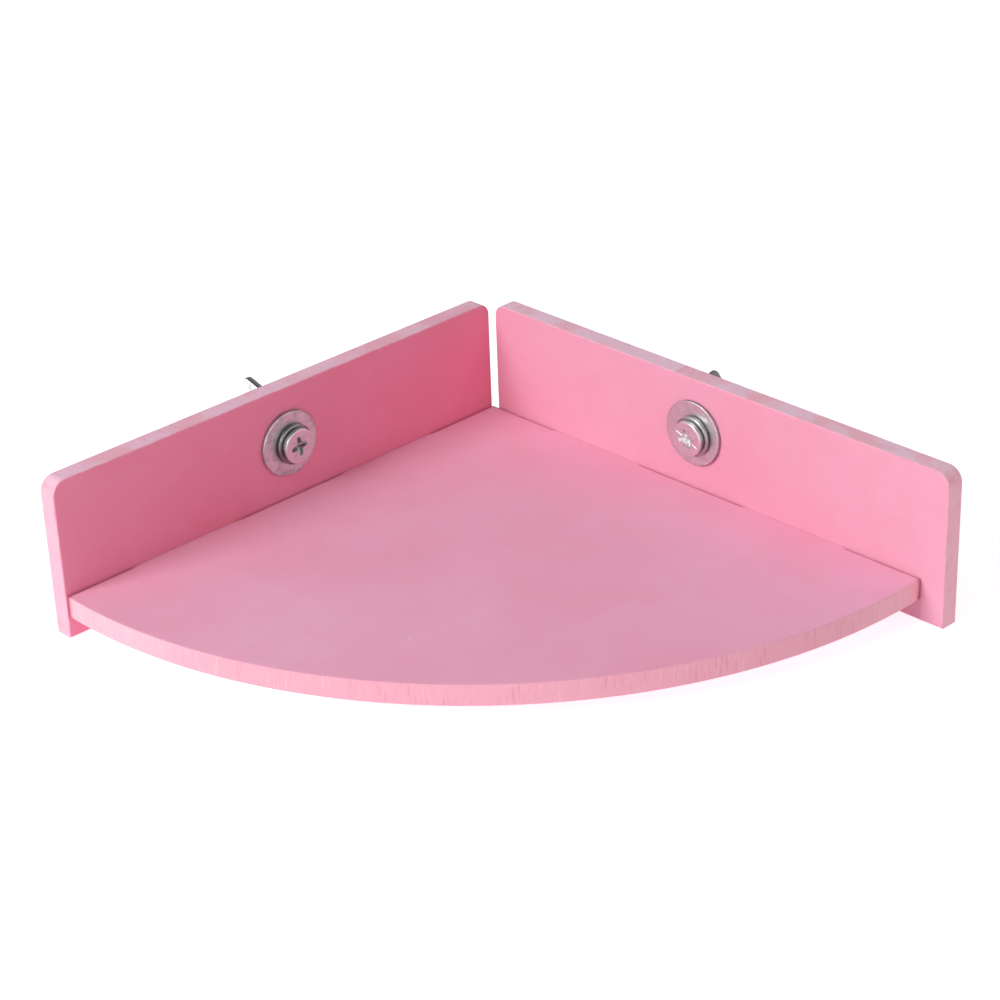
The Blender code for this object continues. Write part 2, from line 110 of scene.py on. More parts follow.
class Nodes:
    """Short calls for building a material's nodes."""

    def __init__(self, name):
        self.material = bpy.data.materials.new(name)
        self.material.use_nodes = True
        self.tree = self.material.node_tree
        self.shader = self.tree.nodes["Principled BSDF"]

    def put(self, socket, value):
        if isinstance(value, bpy.types.NodeSocket):
            self.tree.links.new(value, socket)
        elif value is not None:
            socket.default_value = value

    def add(self, kind, **settings):
        node = self.tree.nodes.new(kind)
        for key, value in settings.items():
            setattr(node, key, value)
        return node

    def math(self, operation, first, second=None):
        node = self.add("ShaderNodeMath", operation=operation)
        self.put(node.inputs[0], first)
        self.put(node.inputs[1], second)
        return node.outputs[0]

    def place(self, space="Object"):
        return self.add("ShaderNodeTexCoord").outputs[space]

    def moved(self, vector, offset):
        node = self.add("ShaderNodeVectorMath", operation="ADD")
        self.put(node.inputs[0], vector)
        node.inputs[1].default_value = offset
        return node.outputs[0]

    def scaled(self, vector, scale, turn=(0, 0, 0)):
        node = self.add("ShaderNodeMapping")
        self.put(node.inputs["Vector"], vector)
        node.inputs["Scale"].default_value = scale
        node.inputs["Rotation"].default_value = turn
        return node.outputs[0]

    def noise(self, vector, scale=1.0, detail=2.0, rough=0.5, distortion=0.0):
        node = self.add("ShaderNodeTexNoise")
        self.put(node.inputs["Vector"], vector)
        node.inputs["Scale"].default_value = scale
        node.inputs["Detail"].default_value = detail
        node.inputs["Roughness"].default_value = rough
        node.inputs["Distortion"].default_value = distortion
        return node.outputs["Fac"]

    def cells(self, vector, scale):
        node = self.add("ShaderNodeTexVoronoi")
        self.put(node.inputs["Vector"], vector)
        node.inputs["Scale"].default_value = scale
        return node.outputs["Distance"], node.outputs["Color"]

    def span(self, value, low, high, to_low=0.0, to_high=1.0):
        """A value's range stretched to another, smoothly, and held at its ends."""
        node = self.add("ShaderNodeMapRange", interpolation_type="SMOOTHSTEP")
        self.put(node.inputs["Value"], value)
        for name, level in (("From Min", low), ("From Max", high), ("To Min", to_low), ("To Max", to_high)):
            node.inputs[name].default_value = level
        return node.outputs["Result"]

    def mix(self, share, first, second):
        node = self.add("ShaderNodeMix", data_type="RGBA")
        self.put(node.inputs["Factor"], share)
        self.put(node.inputs[MIX_FIRST], first)
        self.put(node.inputs[MIX_SECOND], second)
        return node.outputs[MIX_RESULT]

    def attribute(self, name):
        return self.add("ShaderNodeAttribute", attribute_name=name).outputs["Fac"]

    def parts(self, vector):
        node = self.add("ShaderNodeSeparateXYZ")
        self.put(node.inputs[0], vector)
        return node.outputs

    def bump(self, height, distance, strength=1.0, under=None):
        node = self.add("ShaderNodeBump")
        self.put(node.inputs["Height"], height)
        node.inputs["Distance"].default_value = distance
        node.inputs["Strength"].default_value = strength
        self.put(node.inputs["Normal"], under)
        return node.outputs[0]

    def finish(self, **sockets):
        """Fills the shader's sockets, with their names' spaces written as underscores."""
        for name, value in sockets.items():
            self.put(self.shader.inputs[name.replace("_", " ")], value)
        return self.material


# Materials

# The paint on the boards' faces and, where it soaks in, on their cut edges. The boards share one paint,
# so the face coats differ from board to board as painted light and shade: the left wall's is deeper
# as painted shade, and the right wall's has less red as painted shade on its lit face
FACE_COATS_AS_LIT = {"floor": (0.925, 0.442, 0.607), "left": (0.93, 0.287, 0.426), "right": (0.82, 0.357, 0.486)}
EDGE_COATS = {"floor": (0.86, 0.395, 0.485), "left": (0.90, 0.46, 0.570), "right": (0.96, 0.49, 0.585)}
TIP_COAT = (0.93, 0.475, 0.56, 1.0)
# How far the upward cut edges turn to a patchy grey, partly the edges' own and partly a painted sheen
GREY_AND_SHEEN_SHARES = {"floor": 0.0, "left": 0.50, "right": 0.70}
EDGE_GREY_AND_SHEEN = (0.93, 0.715, 0.88, 1.0)
WORN = (0.93, 0.66, 0.74, 1.0)
# Painted shade in the seams beside the walls, and the dark line where the right wall's timbers meet
SEAM_SHADE_AND_JOINT_LINE = (0.50, 0.012, 0.080, 1.0)
# The near-black of the painted shade on the hardware
PAINTED_SHADE_GREY = (0.09, 0.085, 0.09, 1.0)
# Where two lengths of timber meet in the right wall: a distance along it and a slant
TIMBER_JOINT = (0.0910, -0.064)


def painted_wood(board, seed, saw, scored, joint=None, undo=None):
    """Matt paint on a thin board whose own X runs along the grain and whose Z is up.

    'saw' is the scale of the marks on the cut edges and 'scored' how dark they are. A 'joint' is where
    two lengths of timber meet, as a distance along the board and a slant. 'undo' leads from the object's
    frame to the board's own.
    """
    coat, edge_coat, grey_and_sheen_share = FACE_COATS_AS_LIT[board], EDGE_COATS[board], GREY_AND_SHEEN_SHARES[board]
    n = Nodes(f"{board}_pink_paint")
    spot = n.place()
    if undo:
        mapping = n.add("ShaderNodeMapping")
        n.put(mapping.inputs["Vector"], spot)
        mapping.inputs["Location"].default_value = undo.to_translation()
        mapping.inputs["Rotation"].default_value = undo.to_euler()
        spot = mapping.outputs[0]
    here = n.moved(spot, (seed * 0.37, seed * 0.23, 0.0))
    wear_and_painted_light = n.attribute("wear_and_painted_light")
    edge = n.attribute("edge_face")
    seam_shade = n.attribute("seam_shade")
    # Upward-facing surfaces, where the grey on the cut edges is partly a painted sheen
    upward_for_sheen = n.span(n.parts(n.place("Normal"))[2], 0.55, 0.95)
    paint = (*coat, 1.0)
    deep = (coat[0] * 0.96, coat[1] * 0.82, coat[2] * 0.85, 1.0)
    pale = (min(0.93, coat[0] * 1.01), coat[1] * 1.14, coat[2] * 1.12, 1.0)
    edge_paint = (*edge_coat, 1.0)
    edge_deep = (edge_coat[0] * 0.84, edge_coat[1] * 0.70, edge_coat[2] * 0.72, 1.0)
    blushed = (coat[0], coat[1] * 0.90, coat[2] * 0.89, 1.0)

    # Faces: rolled paint with clouds, a trace of grain and a few nibs
    mottle = n.noise(here, 30.0, 3.0, 0.55)
    cloud = n.noise(here, 9.0, 2.0, 0.5)
    blush = n.noise(here, 78.0, 2.0, 0.6)
    grain = n.noise(n.scaled(here, (14.0, 420.0, 420.0)), 1.0, 3.0, 0.6, 0.4)
    fine = n.noise(here, 900.0, 2.0, 0.6)
    colour = n.mix(n.span(mottle, 0.34, 0.66, 0.0, 0.45), paint, deep)
    colour = n.mix(n.span(cloud, 0.36, 0.64, 0.0, 0.45), colour, pale)
    colour = n.mix(n.span(blush, 0.46, 0.68, 0.0, 0.24), colour, blushed)
    colour = n.mix(n.span(grain, 0.55, 0.8, 0.0, 0.16), colour, deep)
    nib, chance = n.cells(here, 95.0)
    chances = n.parts(chance)
    small = n.span(nib, 0.03, 0.09, 1.0, 0.0)
    dark = n.math("MULTIPLY", small, n.span(chances[0], 0.80, 0.86))
    light = n.math("MULTIPLY", small, n.span(chances[1], 0.78, 0.84))
    colour = n.mix(n.math("MULTIPLY", dark, 0.5), colour, deep)
    colour = n.mix(n.math("MULTIPLY", light, 0.55), colour, WORN)

    # Cut edges: thin paint with fine saw marks across, and grey patches on the upward edges, partly where
    # the board drank the paint and partly a painted sheen
    drank = n.noise(n.scaled(here, (62.0, 62.0, 90.0)), 1.0, 3.0, 0.6, 0.3)
    marks = n.noise(n.scaled(here, saw), 1.0, 1.5, 0.5, 0.25)
    rare = n.noise(here, 45.0, 3.0, 0.6)
    grey_patches_and_sheen = n.span(drank, 0.40, 0.60, 0.15, 1.0)
    if joint:
        along, slant = joint
        where = n.parts(spot)
        past = n.math("SUBTRACT", where[0], n.math("MULTIPLY", where[1], slant))
        past = n.math("SUBTRACT", past, along)
        before = n.span(past, -0.0010, 0.0004, 1.0, 0.0)
        near = n.span(past, -0.06, -0.02, 0.2, 1.0)
        grey_patches_and_sheen = n.math("MAXIMUM", grey_patches_and_sheen, n.math("MULTIPLY", before, near))
    grey_patches_and_sheen = n.math("MULTIPLY", grey_patches_and_sheen, n.math("MULTIPLY", upward_for_sheen, grey_and_sheen_share))
    edge_colour = n.mix(grey_patches_and_sheen, edge_paint, EDGE_GREY_AND_SHEEN)
    if board == "floor":
        # The two tips are paler than the middle of the curved edge
        where = n.parts(spot)
        aside = n.math("ABSOLUTE", n.math("ADD", n.math("SUBTRACT", where[0], where[1]), 0.015))
        edge_colour = n.mix(n.span(aside, 0.135, 0.185), edge_colour, TIP_COAT)
    pale_marks = n.math("MULTIPLY", n.span(marks, 0.56, 0.68), n.span(rare, 0.36, 0.58))
    deep_marks = n.math("MULTIPLY", n.span(marks, 0.43, 0.32), n.span(rare, 0.62, 0.42))
    edge_colour = n.mix(n.math("MULTIPLY", pale_marks, 0.34), edge_colour, WORN)
    edge_colour = n.mix(n.math("MULTIPLY", deep_marks, scored), edge_colour, edge_deep)
    if joint:
        line = n.span(n.math("ABSOLUTE", past), 0.00008, 0.00030, 0.38, 0.0)
        edge_colour = n.mix(line, edge_colour, SEAM_SHADE_AND_JOINT_LINE)
    colour = n.mix(n.math("MULTIPLY", edge, 0.9), colour, edge_colour)

    # Arrises rubbed through in places, and darkened along the arris as painted shade against its highlight;
    # painted shade in the seams beside the walls
    broken = n.noise(here, 190.0, 4.0, 0.7)
    arris = n.span(wear_and_painted_light, 0.45, 1.0)
    wear = n.math("MULTIPLY", arris, n.span(broken, 0.54, 0.66))
    colour = n.mix(n.math("MULTIPLY", arris, n.span(broken, 0.52, 0.40, 0.12, 0.62)), colour, deep)
    colour = n.mix(n.math("MULTIPLY", wear, 0.36), colour, WORN)
    colour = n.mix(n.math("MULTIPLY", seam_shade, n.span(broken, 0.30, 0.60, 1.0, 0.7)), colour, SEAM_SHADE_AND_JOINT_LINE)

    roughness = n.math("ADD", n.span(mottle, 0.3, 0.7, 0.50, 0.60), n.math("MULTIPLY", edge, 0.12))
    relief = n.bump(grain, 0.00006, 0.30)
    relief = n.bump(fine, 0.00003, 0.20, relief)
    lines = n.math("MULTIPLY", n.math("SUBTRACT", pale_marks, deep_marks), edge)
    relief = n.bump(lines, 0.00010, 0.6, relief)
    relief = n.bump(n.math("SUBTRACT", light, dark), 0.00008, 0.5, relief)
    relief = n.bump(n.math("MULTIPLY", n.span(broken, 0.3, 0.7), wear_and_painted_light), 0.00030, 0.6, relief)
    n.shader.inputs["Specular IOR Level"].default_value = 0.22
    return n.finish(Base_Color=colour, Roughness=roughness, Normal=relief)


def zinc(name, seed, tone, film, rough, scored=0.45):
    """Zinc plate with patches of darker plating, fine scratches and painted shade where the mesh marks it.

    'tone' is how bright the plate is, 'film' how dark its patches, 'rough' how dull it is and 'scored'
    how plain its scratches. The mesh's wear attribute brightens it, for wear and for painted highlights,
    and its shade attribute darkens it with painted shade.
    """
    n = Nodes(name)
    here = n.moved(n.place(), (seed * 0.41, seed * 0.17, seed * 0.29))
    patch = n.noise(here, 260.0, 2.0, 0.5)
    fine = n.noise(here, 900.0, 2.0, 0.5)
    scratch = n.noise(n.scaled(here, (150.0, 1900.0, 900.0), (0.3, 0.2, 0.5)), 1.0, 1.0, 0.5)
    wear_and_painted_light = n.attribute("wear_and_painted_light")
    painted_shade = n.attribute("painted_shade")
    bright = (tone, tone, tone * 1.01, 1.0)
    dark = (tone * 0.55, tone * 0.53, tone * 0.54, 1.0)
    pale = (min(0.92, tone * 1.2), min(0.92, tone * 1.2), min(0.93, tone * 1.21), 1.0)
    colour = n.mix(n.span(patch, 0.42, 0.66, 0.0, film), bright, dark)
    colour = n.mix(n.span(scratch, 0.62, 0.72, 0.0, scored), colour, pale)
    colour = n.mix(n.span(scratch, 0.38, 0.28, 0.0, scored), colour, dark)
    colour = n.mix(n.math("MULTIPLY", n.span(wear_and_painted_light, 0.4, 1.0), 0.6), colour, pale)
    colour = n.mix(n.math("MULTIPLY", painted_shade, 0.85), colour, PAINTED_SHADE_GREY)
    roughness = n.span(patch, 0.3, 0.7, rough, rough + 0.12)
    roughness = n.math("ADD", roughness, n.span(scratch, 0.6, 0.75, 0.0, 0.10))
    relief = n.bump(patch, 0.00005, 0.20)
    relief = n.bump(fine, 0.00001, 0.20, relief)
    relief = n.bump(scratch, 0.00004, min(1.0, scored * 0.7), relief)
    return n.finish(Base_Color=colour, Metallic=1.0, Roughness=roughness, Normal=relief)


# Mesh helpers


def arc_points(centre, radius, start, end, segments):
    angles = [start + (end - start) * i / segments for i in range(segments + 1)]
    return [Vector((centre[0] + radius * math.cos(a), centre[1] + radius * math.sin(a))) for a in angles]


def spaced(points, step):
    """A closed outline with its long sides cut into pieces of about one step."""
    out = []
    for a, b in zip(points, points[1:] + points[:1]):
        count = max(1, round((b - a).length / step))
        out += [a.lerp(b, i / count) for i in range(count)]
    return out


def inset(points, distance):
    """A closed counter-clockwise outline moved inwards."""
    out = []
    for before, here, after in zip(points[-1:] + points[:-1], points, points[1:] + points[:1]):
        first = (here - before).normalized()
        second = (after - here).normalized()
        middle = Vector((-first.y - second.y, first.x + second.x)).normalized()
        reach = distance / max(0.3, middle.dot(Vector((-first.y, first.x))))
        out.append(here + middle * reach)
    return out


def new_piece(name, shape, matrix, body, material, replaces):
    """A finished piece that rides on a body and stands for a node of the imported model."""
    mesh = bpy.data.meshes.new(name)
    bmesh.ops.recalc_face_normals(shape, faces=shape.faces)
    shape.to_mesh(mesh)
    shape.free()
    made = bpy.data.objects.new(name, mesh)
    bpy.context.scene.collection.objects.link(made)
    made.matrix_world = matrix
    mesh.shade_smooth()
    mesh.set_sharp_from_angle(angle=SHARP_ANGLE)
    mesh.materials.append(material)
    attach(made, body)
    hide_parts(replaces)
    return made


def cutter(name, shape, matrix, body):
    """A hidden shape that a Boolean takes out of a piece on the same body."""
    made = bpy.data.objects.new(name, bpy.data.meshes.new(name))
    bmesh.ops.recalc_face_normals(shape, faces=shape.faces)
    shape.to_mesh(made.data)
    shape.free()
    bpy.context.scene.collection.objects.link(made)
    made.matrix_world = matrix
    made.hide_render = True
    made.display_type = "WIRE"
    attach(made, body)
    return made


def cut(target, tool):
    """Takes a cutter's shape out of a piece."""
    modifier = target.modifiers.new(tool.name, "BOOLEAN")
    modifier.operation = "DIFFERENCE"
    modifier.solver = "EXACT"
    modifier.object = tool


def board_shape(outline, thickness, rounding, turned):
    """A board lying in XY with rounded arrises, then turned into its place.

    The wear attribute is 1 on an arris, for wear and painted shade, and 'edge_face' is 1 on the cut edges.
    The seam's painted-shade attribute is left at 0.
    """
    shape = bmesh.new()
    wear_and_painted_light = shape.verts.layers.float.new("wear_and_painted_light")
    edge_face = shape.verts.layers.float.new("edge_face")
    shape.verts.layers.float.new("seam_shade")
    quarter = [i * math.pi / 8 for i in range(5)]
    reach = rounding * ARRIS_STRIP
    # Each level is the outline's inset, its height, its wear and how far it faces outwards
    levels = [(reach, 0, 0, 0)]
    for a in quarter:
        wear = math.sin(2 * a) * 0.6 + 0.4
        levels.append((rounding * (1 - math.sin(a)), rounding * (1 - math.cos(a)), wear, math.sin(a)))
    levels += [(0, reach, 0, 1)]
    levels += [(d, thickness - z, w, e) for d, z, w, e in reversed(levels)]
    rings = []
    for distance, level, wear, side in levels:
        ring = []
        for point in inset(outline, distance):
            vert = shape.verts.new((point.x, point.y, level))
            vert[wear_and_painted_light] = wear
            vert[edge_face] = side
            ring.append(vert)
        rings.append(ring)
    count = len(outline)
    for lower, upper in zip(rings, rings[1:]):
        for i in range(count):
            shape.faces.new((lower[i], lower[(i + 1) % count], upper[(i + 1) % count], upper[i]))
    shape.faces.new(list(reversed(rings[0])))
    shape.faces.new(rings[-1])
    bmesh.ops.transform(shape, matrix=turned, verts=shape.verts)
    return shape


def turned_shape(profile, segments, closed=False, wave=None):
    """A profile of (radius, height, wear) turned about Z. 'wave' changes the radius of its rims whose wear is
    over one half.
    """
    shape = bmesh.new()
    wear_and_painted_light = shape.verts.layers.float.new("wear_and_painted_light")
    shape.verts.layers.float.new("painted_shade")
    rings = []
    for radius, height, wear in profile:
        count = segments if radius > 0 else 1
        ring = []
        for i in range(count):
            a = 2 * math.pi * i / segments
            grown = radius + (wave(a) if wave and wear > 0.5 else 0.0)
            vert = shape.verts.new((grown * math.cos(a), grown * math.sin(a), height))
            vert[wear_and_painted_light] = wear
            ring.append(vert)
        rings.append(ring)
    pairs = list(zip(rings, rings[1:]))
    if closed:
        pairs.append((rings[-1], rings[0]))
    for lower, upper in pairs:
        for i in range(segments):
            corners = [lower[i % len(lower)], lower[(i + 1) % len(lower)]]
            corners += [upper[(i + 1) % len(upper)], upper[i % len(upper)]]
            shape.faces.new(list(dict.fromkeys(corners)))
    return shape


def plug_shape(radius, low, high, segments):
    """A round plug between two heights, for cutting a hole."""
    return turned_shape([(0, low, 0), (radius, low, 0), (radius, high, 0), (0, high, 0)], segments)


# Boards


def floor_outline():
    left_tip = Vector((FLOOR_LEFT_EDGE, SEAM))
    right_tip = Vector((SEAM, FLOOR_RIGHT_EDGE))
    chord = right_tip - left_tip
    inward = Vector((-chord.y, chord.x)).normalized()
    reach = math.sqrt(FLOOR_ARC_RADIUS**2 - (chord.length / 2) ** 2)
    centre = (left_tip + right_tip) / 2 + inward * reach
    start = math.atan2(left_tip.y - centre.y, left_tip.x - centre.x)
    end = math.atan2(right_tip.y - centre.y, right_tip.x - centre.x)
    return [Vector((SEAM, SEAM))] + arc_points(centre, FLOOR_ARC_RADIUS, start, end, 140)


def wall_outline(length, taper):
    radius, tight = WALL_CORNER_RADIUS, WALL_CORNER_RADIUS * 0.8
    far = WALL_HEIGHT - taper
    quarter = math.pi / 2
    outer = arc_points((length - radius, far - radius), radius, 0, quarter, 12)
    inner = arc_points((tight, WALL_HEIGHT - tight), tight, quarter, 2 * quarter, 12)
    return [Vector((0, 0)), Vector((length, 0))] + outer + inner


def let_in(along):
    """How tightly the floor's edge meets a wall: 1 along a tight stretch, 0 where a gap shows."""
    inside = [min(along - low, high - along) / STRETCH_FADE for low, high in TIGHT_STRETCHES]
    return max(0.0, min(1.0, max(inside)))


def make_floor():
    outline = spaced(floor_outline(), 0.002)
    lift = Matrix.Translation((0, 0, WALL_SKIRT - FLOOR_THICKNESS))
    shape = board_shape(outline, FLOOR_THICKNESS, FLOOR_ARRIS, lift)
    seam_shade, wear_and_painted_light = shape.verts.layers.float["seam_shade"], shape.verts.layers.float["wear_and_painted_light"]
    for vert in shape.verts:
        # How near the vertex is to each wall, and there how tight the seam is
        left = max(0.0, 1.0 - (vert.co.y - SEAM) / SEAM_STRIP)
        right = max(0.0, 1.0 - (vert.co.x - SEAM) / SEAM_STRIP)
        tight = let_in(vert.co.x if left > right else vert.co.y)
        if left > 0 or right > 0:
            if vert.co.z > WALL_SKIRT - FLOOR_THICKNESS / 2:
                vert.co.z += (WALL_SKIRT - vert.co.z) * tight * 0.95
            vert[wear_and_painted_light] *= 1.0 - tight
            vert.co -= Vector((right, left, 0.0)) * (SEAM - TIGHT_GAP) * tight
        # Painted shade in the gap beside each wall, weaker on the left and gone on the right where the seam
        # is tight
        vert[seam_shade] = max(left * (1.0 - 0.8 * tight), right * (1.0 - tight))
    bmesh.ops.transform(shape, matrix=CORNER, verts=shape.verts)
    saw = (1500.0, 1500.0, 110.0)
    material = painted_wood("floor", 1.0, saw, 0.5, undo=CORNER.inverted())
    place = Matrix.Identity(4)
    new_piece("floor_painted", shape, place, "platform", material, "floor_board")


def make_wall(side, seed):
    """A wall in its own frame, with X along it and Z up, with its bolt hole and the brads' pits."""
    start, length, taper = WALLS[side]
    outline = spaced(wall_outline(length, taper), 0.004)
    upright = Matrix.Rotation(math.pi / 2, 4, "X")
    if side == "left":
        place = CORNER @ Matrix.Translation((start, 0, 0))
    else:
        place = CORNER @ Matrix.Translation((0, start, 0)) @ Matrix.Rotation(math.pi / 2, 4, "Z")
        upright = Matrix.Translation((0, WALL_THICKNESS, 0)) @ upright
    shape = board_shape(outline, WALL_THICKNESS, WALL_ARRIS, upright)
    saw = (1350.0, 170.0, 170.0)
    material = painted_wood(side, seed, saw, 0.35, TIMBER_JOINT if side == "right" else None)
    node = f"{side}_wall"
    wall = new_piece(f"{node}_painted", shape, place, "platform", material, node)
    hole = plug_shape(BOLT_HOLE_RADIUS, -OVERCUT, WALL_THICKNESS + OVERCUT, 32)
    cut(wall, cutter(f"{side}_bolt_hole", hole, bolt_matrix(side), "platform"))
    for number, along in enumerate(BRADS[side]):
        pit = plug_shape(BRAD_PIT_RADIUS, -BRAD_PIT_DEPTH, 2 * OVERCUT, 20)
        cut(wall, cutter(f"{side}_brad_pit_{number + 1}", pit, brad_matrix(side, along), "platform"))


def brad_matrix(side, along):
    """A brad's frame: its origin on the wall's outer face, and Z out of the wall."""
    level = WALL_SKIRT - FLOOR_THICKNESS / 2
    if side == "left":
        place, turn = (along, -WALL_THICKNESS, level), Matrix.Rotation(math.pi / 2, 4, "X")
    else:
        place, turn = (-WALL_THICKNESS, along, level), Matrix.Rotation(-math.pi / 2, 4, "Y")
    return CORNER @ Matrix.Translation(place) @ turn


def bolt_matrix(side):
    """A bolt's frame: its origin on the wall's inner face, and Z out through the wall."""
    along = BOLT_ALONG[side]
    if side == "left":
        return CORNER @ Matrix.Translation((along, 0, BOLT_LEVEL)) @ Matrix.Rotation(math.pi / 2, 4, "X")
    turn = Matrix.Rotation(-math.pi / 2, 4, "Z") @ Matrix.Rotation(math.pi / 2, 4, "X")
    return CORNER @ Matrix.Translation((0, along, BOLT_LEVEL)) @ turn


# Hardware

# A finish's last entry is how much painted shade the washer's outer rim gets
STAMPED = {"tone": 0.68, "film": 0.55, "rough": 0.36, "scored": 0.55, "rim_shade": 0.4}
BRIGHT = {"tone": 0.77, "film": 0.35, "rough": 0.32, "scored": 0.3, "rim_shade": 0.5}
# Each wide washer's finish, how uneven its rim is, and the seeds of its rim and its plating
WIDE_WASHERS = {
    "left_front": (STAMPED, 0.0003, -0.06, 2.0),
    "right_front": (BRIGHT, 0.00006, -1.02, -0.16),
    "left_clamp": (STAMPED, 0.00008, 9.05, 5.57),
    "right_clamp": (STAMPED, 0.00008, 9.05, 5.57),
}
# The tone and the seed of each plating. Like parts on the two sides differ in tone as painted light
# and shade: the left lock washer is darker, the right screw lighter and the right nut darker
LOCK_WASHER_PLATE_AS_LIT = {"left": (0.30, 3.1), "right": (0.55, 4.7)}
SCREW_PLATE_AS_LIT = {"left": (0.74, 1.3), "right": (0.86, 2.9)}
NUT_PLATE_AS_LIT = {"left": (0.78, 6.1), "right": (0.36, 8.3)}
# The lines between the recess's arms are this wide, its walls get this much painted shade and this much
# painted highlight
TICK_WIDTH = {"left": 0.00012, "right": 0.00034}
RECESS_SHADE = {"left": 0.72, "right": 0.22}
RECESS_HIGHLIGHT = {"left": 0.0, "right": 0.6}


def applied(made, *cutters):
    """Fixes a piece's modifiers in its mesh, and takes away the shapes that cut it."""
    bpy.context.view_layer.update()
    graph = bpy.context.evaluated_depsgraph_get()
    mesh = bpy.data.meshes.new_from_object(made.evaluated_get(graph))
    made.modifiers.clear()
    made.data = mesh
    for tool in cutters:
        bpy.data.objects.remove(tool, do_unlink=True)
    mesh.shade_smooth()
    mesh.set_sharp_from_angle(angle=SHARP_CUT_ANGLE)


def mark(mesh, name, measure):
    """Writes a measure of each vertex's place and normal as an attribute for the material."""
    layer = mesh.attributes.get(name) or mesh.attributes.new(name, "FLOAT", "POINT")
    normals = mesh.vertex_normals
    for vert in mesh.vertices:
        layer.data[vert.index].value = measure(vert.co, normals[vert.index].vector)


def uneven(seed, size):
    """A stamped rim's small departures from a true circle."""

    def wave(angle):
        place = Vector((math.cos(angle), math.sin(angle), seed))
        return size * (noise.noise(place * 2.3) + 0.6 * noise.noise(place * 7.0))

    return wave


def make_wide_washer(side, position):
    """A stamped washer, slipped off its bolt's axis in the direction that it leans."""
    name = f"{side}_{position}_washer"
    if position == "front":
        body, level, lean = "platform", FRONT_WASHER, WASHER_LEAN[side]
    else:
        body, level, lean = f"{side}_clamp", CLAMP_WASHER, -math.pi / 2
    finish, uneven_by, rim_seed, seed = WIDE_WASHERS[f"{side}_{position}"]
    bore, outer, high, edge = 0.0042, 0.01225, 0.0012, 0.00035
    profile = [(bore, 0.0002, 0.6), (bore + 0.0002, 0, 0.3), (bore + 0.0007, 0, 0)]
    profile += [(outer - 0.0009, 0, 0), (outer - edge, 0, 0.6)]
    for i in range(1, 5):
        a = -math.pi / 2 + i * math.pi / 8
        profile.append((outer - edge + edge * math.cos(a), edge + edge * math.sin(a), 1.0))
    for i in range(4):
        a = i * math.pi / 8
        profile.append((outer - edge + edge * math.cos(a), high - edge + edge * math.sin(a), 1.0))
    profile += [(outer - edge, high, 0.6), (outer - 0.0009, high, 0)]
    profile += [(bore + 0.0007, high, 0), (bore + 0.0002, high, 0.3), (bore, high - 0.0002, 0.6)]
    shape = turned_shape(profile, 96, closed=True, wave=uneven(rim_seed, uneven_by))
    painted_shade, wear_and_painted_light = shape.verts.layers.float["painted_shade"], shape.verts.layers.float["wear_and_painted_light"]
    # Painted shade on the outer rim, which is also kept from brightening with wear
    for vert in shape.verts:
        if math.hypot(vert.co.x, vert.co.y) > outer - edge * 0.6:
            vert[painted_shade] = finish["rim_shade"]
            vert[wear_and_painted_light] = 0.0
    looks = [finish[key] for key in ("tone", "film", "rough", "scored")]
    material = zinc(f"{name}_plate", seed, *looks)
    slip = Matrix.Translation((WASHER_SLIP * math.cos(lean), WASHER_SLIP * math.sin(lean), level))
    place = bolt_matrix(side) @ slip
    new_piece(f"{name}_stamped", shape, place, body, material, name)


def make_lock_washer(side):
    """A split spring washer. Its ends are cut on the slant and stand a little apart."""
    name = f"{side}_lock_washer"
    bore, outer, high, rise, bevel = 0.0041, 0.0075, 0.0014, 0.00015, 0.00018
    section = [(bore + bevel, 0, 0.4), (outer - bevel, 0, 0.4)]
    section += [(outer, bevel, 1), (outer, high - bevel, 1)]
    section += [(outer - bevel, high, 0.4), (bore + bevel, high, 0.4)]
    section += [(bore, high - bevel, 1), (bore, bevel, 1)]
    split, tilt, steps = math.radians(14), math.radians(7), 83
    shape = bmesh.new()
    wear_and_painted_light = shape.verts.layers.float.new("wear_and_painted_light")
    painted_shade = shape.verts.layers.float.new("painted_shade")
    rings = []
    for i in range(steps + 1):
        part = i / steps
        ring = []
        for radius, level, wear in section:
            slant = (level / high - 0.5) * tilt
            angle = -math.pi / 2 + split / 2 + (2 * math.pi - split) * part + slant
            vert = shape.verts.new((radius * math.cos(angle), radius * math.sin(angle), level + rise * part))
            # A painted highlight on the lower half's arrises; painted shade under the head, and a little
            # below
            vert[wear_and_painted_light] = wear * 0.8 if level < high / 2 else 0.0
            vert[painted_shade] = 0.9 if level > high / 2 else 0.15
            ring.append(vert)
        rings.append(ring)
    for first, second in zip(rings, rings[1:]):
        for k in range(len(section)):
            after = (k + 1) % len(section)
            shape.faces.new((first[k], first[after], second[after], second[k]))
    shape.faces.new(rings[0])
    shape.faces.new(list(reversed(rings[-1])))
    place = bolt_matrix(side) @ Matrix.Translation((0, 0, LOCK_WASHER))
    tone, seed = LOCK_WASHER_PLATE_AS_LIT[side]
    material = zinc(f"{name}_plate", seed, tone, 0.6, 0.30)
    new_piece(f"{name}_sprung", shape, place, f"{side}_bolt", material, name)


